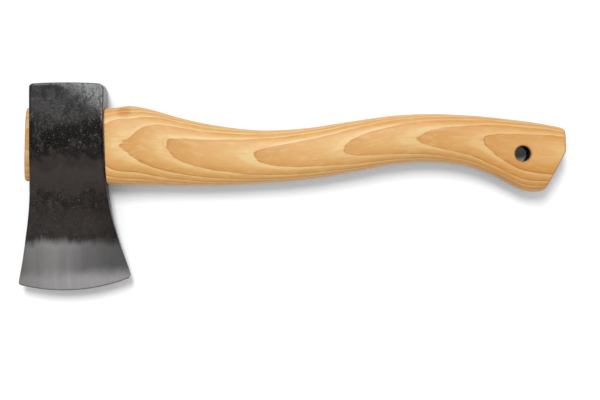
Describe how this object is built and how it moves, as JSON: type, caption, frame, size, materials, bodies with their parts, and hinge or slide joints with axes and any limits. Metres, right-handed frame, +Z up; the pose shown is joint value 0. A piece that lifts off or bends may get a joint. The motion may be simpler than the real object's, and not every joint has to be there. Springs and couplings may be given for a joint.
{
  "type": "hatchet",
  "caption": "Small hand axe: a forged steel head with a flared bit and a flat poll, wedged onto a curved ash or hickory handle with a hanging hole in the butt.",
  "frame": {"origin": "bottom centre of the box around the whole hatchet, lying on its cheek on the floor", "axes": "+X from the head to the butt of the handle, +Y from the cutting edge to the poll, +Z up out of the cheek"},
  "size_m": [0.3829, 0.1452, 0.0265],
  "materials": {
    "forged_steel": "black forging scale, oiled, with a bare ground bit",
    "handle_wood": "sanded and clear lacquered",
    "wedge_wood": "sawn and oiled",
    "wedge_steel": "bare drawn tube, hammered flush"
  },
  "bodies": {
    "root": {"head": "forged_steel", "handle": "handle_wood", "wooden_wedge": "wedge_wood", "ring_wedge": "wedge_steel"}
  },
  "joints": []
}
